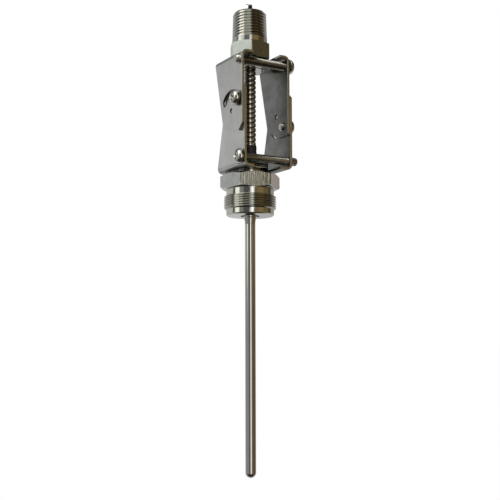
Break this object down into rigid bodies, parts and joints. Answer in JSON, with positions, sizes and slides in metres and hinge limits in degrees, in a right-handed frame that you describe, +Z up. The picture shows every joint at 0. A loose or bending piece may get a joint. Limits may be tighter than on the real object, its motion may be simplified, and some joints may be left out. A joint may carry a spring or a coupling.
{
  "type": "rtd probe",
  "caption": "Temperature probe with a thin closed stem, a loose union nut and a pinned sheet-steel yoke head that tips forward below a threaded conduit nipple.",
  "frame": {"origin": "on the probe's axis at the lower end of the union nut's thread", "axes": "+Z up along the probe from the stem to the nipple, +X along the hinge pins, -Y the side that the head tips towards"},
  "size_m": [0.0435, 0.0401, 0.288],
  "materials": {
    "polished_stainless": "polished along its length",
    "turned_stainless": "fine turned, bright",
    "sheet_stainless": "satin mill finish",
    "fastener_steel": "bright",
    "armour_strip": "bright wound strip",
    "black_sleeve": "matt heat-shrink",
    "lead_insulation": "satin",
    "copper": "bare wire",
    "potting": "cast",
    "ceramic": "fired"
  },
  "bodies": {
    "stem_assembly": {"stem_sheath": "polished_stainless", "rtd_element": "ceramic", "insulation_core": "ceramic", "stem_leads": "lead_insulation", "stem_bushing": "turned_stainless", "stem_collar": "turned_stainless", "lower_bracket": "sheet_stainless", "lower_retaining_nut": "turned_stainless", "lower_cross_washer": "fastener_steel", "lower_cross_screw": "fastener_steel", "left_lock_washer": "fastener_steel", "left_lock_screw": "fastener_steel", "left_pivot_pin": "fastener_steel", "flex_armour": "armour_strip", "shrink_sleeve": "black_sleeve"},
    "head_assembly": {"conduit_nipple": "turned_stainless", "upper_bracket": "sheet_stainless", "upper_retaining_nut": "turned_stainless", "upper_cross_washer": "fastener_steel", "upper_cross_screw": "fastener_steel", "right_lock_washer": "fastener_steel", "right_lock_screw": "fastener_steel", "right_pivot_pin": "fastener_steel", "lead_seal": "potting", "head_leads": "lead_insulation", "lead_cores": "copper"},
    "union_nut": {"union_nut": "turned_stainless"}
  },
  "joints": [
    {"name": "tilt", "type": "hinge", "parent": "stem_assembly", "child": "head_assembly", "pos_m": [0, -0.0075, 0.0569], "axis": [1, 0, 0], "range_deg": [0, 100]},
    {"name": "nut_spin", "type": "hinge", "parent": "stem_assembly", "child": "union_nut", "pos_m": [0, 0, 0], "axis": [0, 0, 1], "continuous": true}
  ]
}
